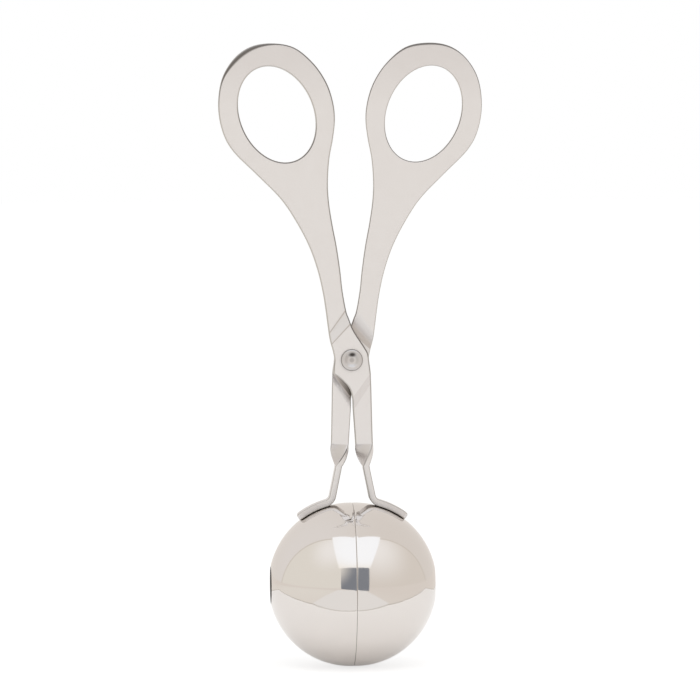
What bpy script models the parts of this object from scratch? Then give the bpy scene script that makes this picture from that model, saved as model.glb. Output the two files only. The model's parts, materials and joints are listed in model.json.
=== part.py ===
"""Meatball tongs at real size, for Blender 4.5.

Two identical arms are stamped from flat steel sheet. Each has a finger loop at the top, a
joggle above and below the rivet, a quarter twist in its shank and a foot that lies on the
ball. The arms cross at one rivet like scissors, and each carries half of a hollow ball.

Lengths are in metres and angles in radians. +Z runs up from the ball to the finger loops,
+X is to the right, and the front arm passes in front of the other, on the -Y side. The
origin is the lowest point of the closed ball.
"""

import math

import bmesh
import bpy
from mathutils import Matrix, Vector

# Clearances
PLAY = 0.0003
HOLE_PLAY = 0.0001
WELD_DISTANCE = 0.000001

# Ball, in two half shells with a short straight lip at the seam
BALL_RADIUS = 0.025
CUP_WALL = 0.0008
CUP_LIP = 0.0006
POLE_HOLE_RADIUS = 0.0057
CUP_STEPS = 48
CUP_ARC_STEPS = 12
SHARP_ABOVE = math.radians(32)

# Arm blank, flat, with the rivet at its zero
BALL_DROP = 0.0688
HANDLE_REACH = 0.0965
HANDLE_SPREAD = 0.0402
PAD_HALF_WIDTH = 0.0053
SHEET = 0.0020
ROLLED_EDGE = 0.0008
SHEARED_EDGE = 0.00035
EDGE_STEPS = 2
SPAN_STEPS = 2

# Finger hole, an ellipse that leans outwards
FINGER_HOLE_LENGTH = 0.0302
FINGER_HOLE_WIDTH = 0.0223
FINGER_HOLE_LEAN = math.radians(22.5)
FINGER_HOLE_PLACE_SHARES = (0.556, 0.735)
FINGER_HOLE_STEPS = 32

# Joggles: (direction of the crease's normal, distance from the rivet) on the pad's side,
# then on the side of the handle or shank
UPPER_CREASE_ANGLES = (math.radians(136), math.radians(145))
UPPER_CREASE_DISTANCES = (0.0075, 0.0105)
LOWER_CREASE_ANGLES = (math.radians(-38), math.radians(-33))
LOWER_CREASE_DISTANCES = (0.0073, 0.0089)
JOGGLE_BEND_SHARE = 0.25
JOGGLE_BEND_STEPS = 3

# Shank: a narrow strip that twists a quarter turn, leans out and ends in the foot
SHANK_WIDTH = 0.0054
SHANK_OFFSET = 0.0037
SHANK_LEAN = math.radians(2.6)
TWIST_DROP = 0.0256
TWIST_LENGTH = 0.0069
TWIST_STEPS = 8
SWEEP_LENGTH = 0.0050
STRIP_LEAN = math.radians(11.6)
FOOT_BEND_RADIUS = 0.0030
FOOT_LENGTH = 0.0096
FOOT_CORNER_RADIUS = 0.0016
BEND_STEPS = 4
CORNER_STEPS = 3

# Rivet: a low factory head behind, and a tubular end rolled over in front
RIVET_SHANK_RADIUS = 0.0021
RIVET_HEAD_RADIUS = 0.00375
RIVET_HEAD_HEIGHT = 0.0011
RIVET_ROLL_RADIUS = 0.00346
RIVET_ROLL_HEIGHT = 0.0010
RIVET_BORE_RADIUS = 0.0017
RIVET_BORE_DEPTH = 0.0016
RIVET_STEPS = 24

# Outline of the pad round the rivet, as shares of its half width, up the side that faces
# the other arm's handle and then down the outer side
PAD_RISING_SHARES = (
    (1.158, -2.717),
    (1.138, -1.700),
    (1.094, -0.792),
    (1.020, -0.190),
    (0.943, 0.358),
    (0.790, 0.660),
    (0.547, 1.038),
    (0.264, 1.472),
    (0.038, 1.887),
    (-0.142, 2.377),
    (-0.293, 2.830),
)
PAD_FALLING_SHARES = (
    (-1.475, 2.830),
    (-1.355, 1.887),
    (-1.245, 1.132),
    (-1.085, 0.509),
    (-1.009, 0.057),
    (-1.047, -0.434),
    (-1.028, -0.774),
    (-0.811, -0.943),
    (-0.566, -1.151),
    (-0.245, -1.481),
    (-0.066, -1.811),
    (0.023, -2.226),
    (0.051, -2.717),
)

# Outline of the handle and its loop: how far out, as a share of the spread, and how far
# from the pad's top to the loop's top, up the inner side and down the outer side
HANDLE_SHARES = (
    (0.065, 0.074),
    (0.082, 0.151),
    (0.108, 0.241),
    (0.139, 0.322),
    (0.164, 0.404),
    (0.172, 0.479),
    (0.160, 0.568),
    (0.132, 0.643),
    (0.116, 0.717),
    (0.132, 0.785),
    (0.182, 0.856),
    (0.279, 0.926),
    (0.423, 0.984),
    (0.595, 1.000),
    (0.755, 0.987),
    (0.881, 0.942),
    (0.971, 0.867),
    (1.000, 0.768),
    (0.970, 0.674),
    (0.889, 0.598),
    (0.707, 0.508),
    (0.529, 0.418),
    (0.408, 0.328),
    (0.315, 0.238),
    (0.253, 0.149),
    (0.216, 0.069),
)

# Turned outlines of the rivet's two ends: radius and height as shares of each end's own
HEAD_SHARES = ((0.0, 1.0), (0.35, 0.97), (0.62, 0.86), (0.84, 0.64), (0.96, 0.40), (1.0, 0.15))
ROLL_SHARES = ((0.93, 0.0), (1.0, 0.22), (0.99, 0.52), (0.91, 0.82), (0.79, 1.0), (0.66, 0.96))
BORE_SHARES = ((1.14, -0.28), (1.0, 0.0), (0.92, 0.75), (0.70, 0.97), (0.40, 0.90), (0.0, 0.78))

PIVOT = Vector((0.0, 0.0, BALL_RADIUS + BALL_DROP))
PAD_TOP = PAD_HALF_WIDTH * PAD_RISING_SHARES[-1][1]
PAD_OFFSET = (SHEET + PLAY) / 2
CUP_CENTRE = PLAY / 2 + CUP_LIP
HEAD_SEAT = PAD_OFFSET + SHEET / 2 + PLAY
RIVET_HOLE_RADIUS = RIVET_SHANK_RADIUS + HOLE_PLAY

COLOURS = {
    "satin_steel": (0.60, 0.58, 0.56, 1.0),
    "polished_steel": (0.66, 0.64, 0.62, 1.0),
    "rivet_steel": (0.55, 0.54, 0.53, 1.0),
}
ROUGHNESS = {"satin_steel": 0.34, "polished_steel": 0.08, "rivet_steel": 0.22}


def clear_scene():
    for thing in list(bpy.data.objects):
        bpy.data.objects.remove(thing, do_unlink=True)


def material_named(name):
    """A stainless steel with its own colour and polish."""
    material = bpy.data.materials.new(name)
    material.use_nodes = True
    shader = material.node_tree.nodes["Principled BSDF"]
    shader.inputs["Base Color"].default_value = COLOURS[name]
    shader.inputs["Roughness"].default_value = ROUGHNESS[name]
    shader.inputs["Metallic"].default_value = 1.0
    return material


def mesh_from(name, form, material):
    """Turns a bmesh into a smooth shaded mesh whose faces point out."""
    bmesh.ops.remove_doubles(form, verts=form.verts, dist=WELD_DISTANCE)
    bmesh.ops.recalc_face_normals(form, faces=form.faces)
    mesh = bpy.data.meshes.new(name)
    form.to_mesh(mesh)
    form.free()
    mesh.materials.append(material)
    mesh.shade_smooth()
    mesh.set_sharp_from_angle(angle=SHARP_ABOVE)
    return mesh


def place(name, mesh, parent):
    """Adds a piece whose mesh is drawn about the rivet's axis."""
    piece = bpy.data.objects.new(name, mesh)
    bpy.context.scene.collection.objects.link(piece)
    piece.parent = parent
    return piece


def empty_at_pivot(name, turn):
    """One side of the tongs: everything under it swings about the rivet's axis."""
    side = bpy.data.objects.new(name, None)
    bpy.context.scene.collection.objects.link(side)
    side.location = PIVOT
    side.rotation_euler = (0.0, 0.0, turn)
    return side


def unit(angle):
    return Vector((math.cos(angle), math.sin(angle)))


# Shank path


def leaned(lean):
    """Directions along and across the strip, where it leans out from straight down."""
    along = Vector((math.sin(lean), -math.cos(lean)))
    across = Vector((math.cos(lean), math.sin(lean)))
    return along, across


def step_along(start, lean, length, turn):
    """The end of a straight stretch, or of an arc that turns the lean by this much."""
    if turn == 0:
        return start + leaned(lean)[0] * length
    radius = length / turn
    rise = math.sin(lean + turn) - math.sin(lean)
    return start + Vector((math.cos(lean) - math.cos(lean + turn), -rise)) * radius


def shank_stretches():
    """(length, turn) of each stretch of the strip's centre line below the twist's start.

    The straight stretch is as long as brings the foot's bend tangent to the ball.
    """
    straight = TWIST_LENGTH / 2
    sweep = STRIP_LEAN - SHANK_LEAN
    end = step_along(twist_start(), SHANK_LEAN, straight, 0)
    end = step_along(end, SHANK_LEAN, SWEEP_LENGTH, sweep)
    along, across = leaned(STRIP_LEAN)
    foot_radius = BALL_RADIUS + PLAY + SHEET / 2
    reach = foot_radius + FOOT_BEND_RADIUS
    ball_centre = Vector((CUP_CENTRE, -BALL_DROP))
    offset = end + across * FOOT_BEND_RADIUS - ball_centre
    down = offset.dot(along)
    drop = -down - math.sqrt(down * down - offset.length_squared + reach * reach)
    bend_centre = offset + along * drop
    bend = math.atan2(bend_centre.y, bend_centre.x) - STRIP_LEAN
    return (
        (straight, 0),
        (SWEEP_LENGTH, sweep),
        (drop, 0),
        (FOOT_BEND_RADIUS * bend, bend),
        (FOOT_LENGTH, -FOOT_LENGTH / foot_radius),
    )


def twist_start():
    return Vector((SHANK_OFFSET, -TWIST_DROP))


def along_shank(stretches, distance):
    """(centre, lean) of the strip this far below the twist's start."""
    centre = twist_start()
    lean = SHANK_LEAN
    for length, turn in stretches[:-1]:
        if distance <= length:
            turn *= distance / length
            return step_along(centre, lean, distance, turn), lean + turn
        centre = step_along(centre, lean, length, turn)
        lean += turn
        distance -= length
    length, turn = stretches[-1]
    turn *= distance / length
    return step_along(centre, lean, distance, turn), lean + turn


# Flat blank


def smooth_through(points, before, after):
    """A Catmull-Rom curve through the points, whose ends head from before and to after."""
    chain = [before, *points, after]
    curve = []
    for a, b, c, d in zip(chain, chain[1:], chain[2:], chain[3:]):
        for step in range(SPAN_STEPS):
            t = step / SPAN_STEPS
            bend = (a * 2 - b * 5 + c * 4 - d) * t * t + (b * 3 - c * 3 + d - a) * t * t * t
            curve.append(b + ((c - a) * t + bend) / 2)
    curve.append(points[-1])
    return curve


def on_strip(distance, sideways):
    """A point of the flat strip, before it is twisted and bent."""
    along, across = leaned(SHANK_LEAN)
    return twist_start() + along * distance + across * sideways


def foot_end(length):
    """The strip's end, with rounded corners, from its inner side to its outer side."""
    half = SHANK_WIDTH / 2 - FOOT_CORNER_RADIUS
    points = []
    for side in (-1, 1):
        for step in range(CORNER_STEPS + 1):
            quarter = math.pi / 2 * step / CORNER_STEPS
            angle = quarter if side > 0 else math.pi / 2 - quarter
            down = length - FOOT_CORNER_RADIUS * (1 - math.cos(angle))
            points.append(on_strip(down, side * (half + FOOT_CORNER_RADIUS * math.sin(angle))))
    return points


def blank_outline(length):
    """The arm's outline, anticlockwise as seen from the front."""
    half = SHANK_WIDTH / 2
    rising = [Vector(share) * PAD_HALF_WIDTH for share in PAD_RISING_SHARES]
    falling = [Vector(share) * PAD_HALF_WIDTH for share in PAD_FALLING_SHARES]
    handle = [handle_point(share) for share in HANDLE_SHARES]
    points = [on_strip(0, half), *rising, *handle, *falling, on_strip(0, -half)]
    curve = smooth_through(points, on_strip(SHANK_WIDTH, half), on_strip(SHANK_WIDTH, -half))
    return curve + foot_end(length)


def handle_point(share):
    out, up = share
    return Vector((-HANDLE_SPREAD * out, PAD_TOP + (HANDLE_REACH - PAD_TOP) * up))


def ellipse(centre, width, length, lean, steps):
    points = []
    for step in range(steps):
        angle = math.tau * step / steps
        point = Vector((math.cos(angle) * width / 2, math.sin(angle) * length / 2))
        points.append(centre + Matrix.Rotation(lean, 2) @ point)
    return points


def edge_profile():
    """(depth, inset) of each ring round the sheet's edge, from the front face to the back."""
    rings = []
    for step in range(EDGE_STEPS + 1):
        angle = math.pi / 2 * step / EDGE_STEPS
        depth = ROLLED_EDGE * (1 - math.cos(angle))
        rings.append((depth - SHEET / 2, ROLLED_EDGE * (1 - math.sin(angle))))
    for step in range(EDGE_STEPS + 1):
        angle = math.pi / 2 * step / EDGE_STEPS
        depth = SHEARED_EDGE * (1 - math.sin(angle))
        rings.append((SHEET / 2 - depth, SHEARED_EDGE * (1 - math.cos(angle))))
    return rings


def ring_of(form, outline, inward, depth, inset):
    """A closed ring of edges, the outline drawn in by the inset, at this depth."""
    verts = []
    for before, point, after in zip(outline[-1:] + outline, outline, outline[1:] + outline[:1]):
        normal = (after - before).orthogonal().normalized() * inward
        x, z = point + normal * inset
        verts.append(form.verts.new((x, depth, z)))
    return [form.edges.new(pair) for pair in zip(verts, verts[1:] + verts[:1])]


def flat_blank(stretches):
    """The stamped blank with its finger hole and rivet hole, its edges rounded."""
    form = bmesh.new()
    length = sum(stretch[0] for stretch in stretches)
    hole_centre = handle_point(FINGER_HOLE_PLACE_SHARES)
    hole = (FINGER_HOLE_WIDTH, FINGER_HOLE_LENGTH, FINGER_HOLE_LEAN, FINGER_HOLE_STEPS)
    rivet_hole = (RIVET_HOLE_RADIUS * 2, RIVET_HOLE_RADIUS * 2, 0, RIVET_STEPS)
    outlines = (
        (blank_outline(length), 1),
        (ellipse(hole_centre, *hole), -1),
        (ellipse(Vector((0, 0)), *rivet_hole), -1),
    )
    front, back = [], []
    for outline, inward in outlines:
        rings = [ring_of(form, outline, inward, *ring) for ring in edge_profile()]
        for ring, next_ring in zip(rings, rings[1:]):
            bmesh.ops.bridge_loops(form, edges=ring + next_ring)
        front += rings[0]
        back += rings[-1]
    for border in (front, back):
        bmesh.ops.triangle_fill(form, use_beauty=True, edges=border)
    return form


# Bending


def crease(angles, distances, share):
    """(normal, offset) of the line this share of the way across a joggle."""
    pad_side, far_side = unit(angles[0]), unit(angles[1])
    return pad_side.lerp(far_side, share), distances[0] * (1 - share) + distances[1] * share


def joggle_stations():
    """Shares of the way across a joggle where the sheet needs a line to bend along."""
    bend = [JOGGLE_BEND_SHARE * step / JOGGLE_BEND_STEPS for step in range(JOGGLE_BEND_STEPS + 1)]
    return bend + [1 - share for share in bend]


def stepped(share):
    """How much of its step a joggle has made here: a round bend, a straight slope, a bend."""
    near = min(share, 1 - share)
    slope = 1 / (1 - JOGGLE_BEND_SHARE)
    if near < JOGGLE_BEND_SHARE:
        made = slope * near * near / (2 * JOGGLE_BEND_SHARE)
    else:
        made = slope * (near - JOGGLE_BEND_SHARE / 2)
    return made if share == near else 1 - made


def joggle_share(point, angles, distances):
    """0 on the pad, 1 past the joggle, and in between on its slope."""
    past_pad = point.dot(unit(angles[0])) - distances[0]
    short_of_far = distances[1] - point.dot(unit(angles[1]))
    if past_pad <= 0:
        return 0.0
    if short_of_far <= 0:
        return 1.0
    return stepped(past_pad / (past_pad + short_of_far))


def cut(form, point, normal):
    geometry = form.verts[:] + form.edges[:] + form.faces[:]
    bmesh.ops.bisect_plane(
        form, geom=geometry, dist=WELD_DISTANCE, plane_co=point, plane_no=normal
    )


def cut_bends(form, stretches):
    """Adds a line of vertices wherever the sheet has to bend."""
    for angles, distances in (
        (UPPER_CREASE_ANGLES, UPPER_CREASE_DISTANCES),
        (LOWER_CREASE_ANGLES, LOWER_CREASE_DISTANCES),
    ):
        for share in joggle_stations():
            normal, offset = crease(angles, distances, share)
            x, z = normal * (offset / normal.length_squared)
            cut(form, (x, 0, z), (normal.x, 0, normal.y))
    stations = [TWIST_LENGTH * step / TWIST_STEPS for step in range(TWIST_STEPS + 1)]
    start = 0
    for length, turn in stretches:
        if turn:
            stations += [start + length * step / BEND_STEPS for step in range(BEND_STEPS + 1)]
        start += length
    along, _ = leaned(SHANK_LEAN)
    for station in stations[:-1]:
        x, z = on_strip(station, 0)
        cut(form, (x, 0, z), (along.x, 0, along.y))


def bent(point, stretches):
    """Where a point of the flat blank lies on the finished arm."""
    flat = Vector((point.x, point.z))
    along, across = leaned(SHANK_LEAN)
    below = (flat - twist_start()).dot(along)
    if below <= 0:
        share = joggle_share(flat, UPPER_CREASE_ANGLES, UPPER_CREASE_DISTANCES)
        share += joggle_share(flat, LOWER_CREASE_ANGLES, LOWER_CREASE_DISTANCES)
        return Vector((point.x, point.y - PAD_OFFSET * (1 - share), point.z))
    sideways = (flat - twist_start()).dot(across)
    centre, lean = along_shank(stretches, below)
    _, outward = leaned(lean)
    twist = math.pi / 2 * min(below / TWIST_LENGTH, 1)
    out = sideways * math.cos(twist) + point.y * math.sin(twist)
    depth = point.y * math.cos(twist) - sideways * math.sin(twist)
    place_on_plane = centre + outward * out
    return Vector((place_on_plane.x, depth, place_on_plane.y))


def arm_mesh(name, material):
    stretches = shank_stretches()
    form = flat_blank(stretches)
    cut_bends(form, stretches)
    for vert in form.verts:
        vert.co = bent(vert.co, stretches)
    return mesh_from(name, form, material)


# Turned pieces


def turned(name, profile, axis, steps, material):
    """Spins a profile of (along the axis, radius) a full turn about the X or Y axis."""
    form = bmesh.new()
    verts = []
    for place_along, radius in profile:
        spot = (place_along, 0, radius) if axis.x else (0, place_along, radius)
        verts.append(form.verts.new(spot))
    edges = [form.edges.new(pair) for pair in zip(verts, verts[1:])]
    if profile[0][1]:
        edges.append(form.edges.new((verts[-1], verts[0])))
    bmesh.ops.spin(
        form,
        geom=verts + edges,
        cent=(0, 0, 0),
        axis=axis,
        angle=math.tau,
        steps=steps,
        use_merge=True,
    )
    return mesh_from(name, form, material)


def shell_arc(radius):
    """Points of a half shell from its lip to the hole at its pole, as (along, radius)."""
    last = math.acos(POLE_HOLE_RADIUS / radius)
    angles = [last * step / CUP_ARC_STEPS for step in range(CUP_ARC_STEPS + 1)]
    arc = [(CUP_CENTRE + radius * math.sin(a), radius * math.cos(a)) for a in angles]
    return [(PLAY / 2, radius), *arc]


def cup_mesh(name, material):
    """The half shell on the +X side, open at the seam and at its pole."""
    profile = shell_arc(BALL_RADIUS) + shell_arc(BALL_RADIUS - CUP_WALL)[::-1]
    mesh = turned(name, profile, Vector((1, 0, 0)), CUP_STEPS, material)
    mesh.transform(Matrix.Translation((0, 0, -BALL_DROP)))
    return mesh


def rivet_profile():
    """(along Y, radius), from the middle of the head behind to the bore's floor in front."""
    head = [
        (HEAD_SEAT + RIVET_HEAD_HEIGHT * height, RIVET_HEAD_RADIUS * radius)
        for radius, height in HEAD_SHARES
    ]
    shank = [
        (HEAD_SEAT, RIVET_HEAD_RADIUS * HEAD_SHARES[-2][0]),
        (HEAD_SEAT, RIVET_SHANK_RADIUS),
        (-HEAD_SEAT, RIVET_SHANK_RADIUS),
    ]
    roll = [
        (-HEAD_SEAT - RIVET_ROLL_HEIGHT * height, RIVET_ROLL_RADIUS * radius)
        for radius, height in ROLL_SHARES
    ]
    bore = [
        (-HEAD_SEAT + RIVET_BORE_DEPTH * depth, RIVET_BORE_RADIUS * radius)
        for radius, depth in BORE_SHARES
    ]
    return head + shank + roll + bore


def main():
    clear_scene()
    satin = material_named("satin_steel")
    polished = material_named("polished_steel")
    bright = material_named("rivet_steel")
    fixed_side = empty_at_pivot("fixed_side", 0)
    swinging_side = empty_at_pivot("swinging_side", math.pi)
    arm = arm_mesh("arm", satin)
    place("front_arm", arm, fixed_side)
    place("rear_arm", arm, swinging_side)
    cup = cup_mesh("cup", polished)
    place("right_cup", cup, fixed_side)
    place("left_cup", cup, swinging_side)
    rivet = turned("rivet", rivet_profile(), Vector((0, 1, 0)), RIVET_STEPS, bright)
    place("pivot_rivet", rivet, fixed_side)
    bpy.context.view_layer.update()


main()
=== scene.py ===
"""Meatball tongs: two stamped steel arms, a hollow ball in two halves and one rivet.

Lengths are in metres and angles in radians. +Z runs up from the ball to the finger loops,
+X is to the right, and the front arm passes in front of the other, on the -Y side. The
origin is the lowest point of the closed ball.
"""

import json
import math

import bmesh
import bpy
from bpy.props import FloatProperty, FloatVectorProperty, PointerProperty
from bpy.types import Operator, Panel, PropertyGroup
from mathutils import Matrix, Vector


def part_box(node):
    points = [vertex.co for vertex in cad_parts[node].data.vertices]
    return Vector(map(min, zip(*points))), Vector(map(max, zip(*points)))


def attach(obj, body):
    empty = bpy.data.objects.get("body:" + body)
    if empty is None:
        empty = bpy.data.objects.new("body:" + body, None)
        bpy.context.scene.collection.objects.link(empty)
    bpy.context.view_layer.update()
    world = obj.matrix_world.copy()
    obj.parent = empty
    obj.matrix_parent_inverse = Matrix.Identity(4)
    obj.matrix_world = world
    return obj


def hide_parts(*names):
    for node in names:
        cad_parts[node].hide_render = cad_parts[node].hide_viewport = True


bl_info = {
    "name": "Meatball tongs",
    "version": (1, 0, 0),
    "blender": (4, 5, 0),
    "location": "3D View > Sidebar > Tongs",
    "description": "Builds scissor tongs whose arms end in the halves of a steel ball",
    "category": "Add Mesh",
}

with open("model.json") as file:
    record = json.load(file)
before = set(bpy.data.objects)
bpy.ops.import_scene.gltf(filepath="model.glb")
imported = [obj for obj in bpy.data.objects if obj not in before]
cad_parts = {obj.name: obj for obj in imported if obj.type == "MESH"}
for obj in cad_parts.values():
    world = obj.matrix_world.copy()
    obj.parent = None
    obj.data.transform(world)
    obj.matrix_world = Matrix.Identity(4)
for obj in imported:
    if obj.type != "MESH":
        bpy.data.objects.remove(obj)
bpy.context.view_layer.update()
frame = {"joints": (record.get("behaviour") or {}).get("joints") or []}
cup_low, cup_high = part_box("right_cup")

PIVOT = Vector(frame["joints"][0]["pos_m"])
BALL_CENTRE = Vector((0, 0, (cup_low.z + cup_high.z) / 2))
PLAY = 0.0003
WELD_DISTANCE = 0.000001

# The arm's flat blank, with the rivet at its zero. Each crease of a joggle has the
# direction of its normal and its distance from the rivet, the pad's side first.
FINGER_HOLE_PLACE_SHARES = (0.556, 0.735)
FINGER_HOLE_LEAN = math.radians(22.5)
UPPER_JOGGLE = ((math.radians(136), 0.0075), (math.radians(145), 0.0105))
LOWER_JOGGLE = ((math.radians(-37), 0.0070), (math.radians(-33), 0.0089))
JOGGLE_BEND_SHARE = 0.25
SHANK_OFFSET = 0.0037
SHANK_LEAN = math.radians(2.6)
TWIST_DROP = 0.0256
SWEEP_LENGTH = 0.0050
JOGGLE_LEAST_WIDTH = 0.0005
FOOT_BEND_RADIUS = 0.0030
FOOT_CORNER_RADIUS = 0.0016
FOOT_TIP = 0.0009
FOOT_TIP_SHARES = (1, 0.7, 0.45, 0.25, 0.1)
FLAT_BORDER = 0.00012
FOOT_GAP = 0.00003
SEAM_GAP = 0.00004

# Where the loop's outer edge is ground wider: which way from the finger hole's centre,
# how far to each side of that, and by how many edge radii, on the front and the back face
FRONT_GRIND = (math.radians(120), math.radians(36), 2.6)
BACK_GRIND = (math.radians(90), math.radians(42), 1.6)
# Nearer to the finger hole than this, nothing is ground
HOLE_MARGIN = 0.001

# Painted shade on the arms: how dark the sheet is drawn on the joggles' slopes and creases,
# in the twist, on the strip and the foot and towards the loop's top, and the painted shadow
# on the back beside the other arm's pad. The stops are the places of the face colour and of
# the three shade colours on one scale, and each shade is a place on that scale. On the front
# of the upper and the lower joggle, a shade goes with the creases and another with the slope.
PAINTED_SHADE_STOPS = (0.0, 0.4, 0.7, 1.0)
TWIST_SHADE, FOOT_SHADE, INNER_SHADE, LOOP_SHADE, BACK_SHADE = 0.55, 0.45, 0.9, 0.3, 0.7
FRONT_SHADES = ((0.8, 0.4), (0.3, 0.15))
CREASE_SHARE = JOGGLE_BEND_SHARE / 3
# Where the shades start and end: on the back as shares of a joggle's width, on the strip in
# twist lengths below the twist's start, and on the loop as heights above the rivet
BACK_SHADE_STARTS = (-0.5, -1.0)
BACK_SHADE_FADE = 0.1
LOWER_SHADE_END = 0.4
TWIST_SHADE_FADE = 0.04
FOOT_SHADE_START = 2.2
INNER_SHADE_START, INNER_SHADE_FADE = 1.25, 0.5
LOOP_SHADE_START, LOOP_SHADE_FADE = 0.078, 0.014
# The part of the twist whose inner edge gets painted shade, in twist lengths, and that edge's width
TWIST_EDGE_ENDS, TWIST_EDGE = (0.2, 0.8), 0.0005
# A point further than this from the sheet's middle, in sheets, is on a face
FACE_SHARE = 0.42

# How finely each form is divided
SPAN_STEPS = 6
HOLE_STEPS = 120
ROLL_STEPS = 5
SHEAR_STEPS = 3
JOGGLE_STEPS = 6
TWIST_STEPS = 36
BEND_STEPS = 14
CORNER_STEPS = 7
ARC_STEPS = 64
TURN_STEPS = 160
RIM_STEPS = 3
PROFILE_STEPS = 5

# Outline of the pad round the rivet, as shares of its half width, up the side that faces
# the other arm's handle and then down the outer side
PAD_RISING_SHARES = (
    (1.158, -2.717), (1.138, -1.700), (1.094, -0.792), (1.020, -0.190), (0.943, 0.358),
    (0.790, 0.660), (0.547, 1.038), (0.264, 1.472), (0.038, 1.887), (-0.142, 2.377),
    (-0.293, 2.830),
)
PAD_FALLING_SHARES = (
    (-1.475, 2.830), (-1.355, 1.887), (-1.245, 1.132), (-1.085, 0.509), (-1.009, 0.057),
    (-1.047, -0.434), (-1.028, -0.774), (-0.811, -0.943), (-0.566, -1.151), (-0.245, -1.481),
    (-0.066, -1.811), (0.023, -2.226), (0.051, -2.717),
)

# Outline of the handle and its loop: how far out, as a share of the spread, and how far
# from the pad's top to the loop's top, up the inner side and down the outer side
HANDLE_SHARES = (
    (0.065, 0.074), (0.082, 0.151), (0.108, 0.241), (0.139, 0.322), (0.164, 0.404),
    (0.172, 0.479), (0.160, 0.568), (0.132, 0.643), (0.116, 0.717), (0.132, 0.785),
    (0.182, 0.856), (0.279, 0.926), (0.423, 0.984), (0.595, 1.000), (0.755, 0.987),
    (0.881, 0.942), (0.971, 0.867), (1.000, 0.768), (0.970, 0.674), (0.889, 0.598),
    (0.707, 0.508), (0.529, 0.418), (0.408, 0.328), (0.315, 0.238), (0.253, 0.149),
    (0.216, 0.069),
)

# Turned outlines of the rivet's two ends: radius and height as shares of each end's own.
# The bore has its depth in place of a height, and starts above the arm, inside the roll.
HEAD_SHARES = ((0.0, 1.0), (0.35, 0.97), (0.62, 0.86), (0.84, 0.64), (0.96, 0.40), (1.0, 0.15))
ROLL_SHARES = ((0.93, 0.0), (1.0, 0.22), (0.99, 0.52), (0.91, 0.82), (0.79, 1.0), (0.66, 0.93))
BORE_SHARES = ((1.14, -1.05), (1.0, -0.6), (0.84, -0.2), (0.64, 0.0), (0.40, 0.06), (0.0, 0.0))

# Spot of painted shade in the roll's groove: right of the rivet's axis, above it, and half its size
GROOVE_SHADE_RIGHT, GROOVE_SHADE_RISE = 0.00012, 0.00165
GROOVE_SHADE_HALF_WIDTH, GROOVE_SHADE_HALF_HEIGHT = 0.0012, 0.0008

# What stands round the object in the studio, from the ball's centre: to the camera's
# right, away from the camera, and up. The card is palest at its glare and the cloth at its
# glow, and the softbox has a corner halfway along the edge away from the camera.
GREY_CARD = (
    (-0.0096, -0.050, 0.0179), (0.0152, -0.050, 0.0187), (0.0140, -0.050, -0.0044),
    (-0.0090, -0.050, -0.0023),
)
GREY_CARD_GLARE = (-0.0185, -0.050, 0.0190)
# Each wall's name, which half of the room it fills, the direction square to its slanted
# edge, the brightest point on it, and how far its brightness reaches from there
WALLS = (
    ("left", -1, (-0.292, -0.725, -0.345), (-1.400, -1.800, 2.600), 2.1),
    ("right", 1, (0.309, -0.569, -0.296), (1.500, -1.700, 2.600), 3.3),
)
TENT_GLOW = (-3.000, -0.500, 2.000)
SOFTBOX = (
    (-0.470, -0.318, 1.240), (-0.800, -2.665, 1.240), (1.064, -2.553, 1.240),
    (0.668, -0.191, 1.240), (0.105, -0.428, 1.240),
)
SOFTBOX_MIDDLE = (0.350, -1.000, 1.240)
SOFTBOX_WHITE = (0.96, 1.0, 1.05)
TABLE_CORNERS = [(3.9, 3.9), (3.9, -3.9), (-3.9, -3.9), (-3.9, 3.9)]
CAMERA_SHIFT = (-0.0020, 0.01379)
# How bright things look beside their colours in the metal, and the share of the paper that
# shines, for the camera and for the metal
SOFTBOX_GLOW, WALL_GLOW, PAPER_GLOW = 1.26, 1.06, 1.12
PAPER_SHINES_TO_CAMERA, PAPER_SHINES_TO_METAL = 0.50, 0.15
# The edge of the white paper that the ball stands on, as points on the table, and the
# strip of paper that runs on from it towards the camera
PAPER_EDGE = (
    (-0.090, 3.900), (-0.084, 0.520), (-0.123, 0.160), (-0.209, 0.109),
    (-0.215, 0.094), (-0.145, 0.002), (-0.092, -0.038), (-0.060, -0.053),
    (-0.027, -0.055), (-0.002, -0.056), (0.021, -0.056), (0.049, -0.056),
    (0.094, -0.035), (0.138, -0.002), (0.220, 0.076), (0.245, 0.106),
    (0.135, 0.160), (0.090, 0.520), (0.095, 3.900),
)
PAPER_STRIP = (
    (-0.060, -0.053), (-0.080, -0.121), (-0.171, -0.559), (0.121, -0.581),
    (0.066, -0.130), (0.053, -0.056),
)


def linear_rgb(code):
    """A colour written as sRGB hex, as the linear values that a render works in."""
    parts = [int(code[start : start + 2], 16) / 255 for start in (0, 2, 4)]
    return tuple(c / 12.92 if c <= 0.04045 else ((c + 0.055) / 1.055) ** 2.4 for c in parts)


def length_of(name, description, default):
    kind = {"min": 0.0, "precision": 5, "subtype": "DISTANCE", "unit": "LENGTH"}
    return FloatProperty(name=name, description=description, default=default, **kind)


def angle_of(name, description, degrees):
    kind = {"default": math.radians(degrees), "subtype": "ANGLE", "unit": "ROTATION"}
    return FloatProperty(name=name, description=description, **kind)


def share_of(name, description, default):
    kind = {"min": 0.0, "max": 1.0, "subtype": "FACTOR"}
    return FloatProperty(name=name, description=description, default=default, **kind)


def colour_of(name, description, code):
    kind = {"default": linear_rgb(code), "min": 0.0, "max": 1.0, "size": 3, "subtype": "COLOR"}
    return FloatVectorProperty(name=name, description=description, **kind)


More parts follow.
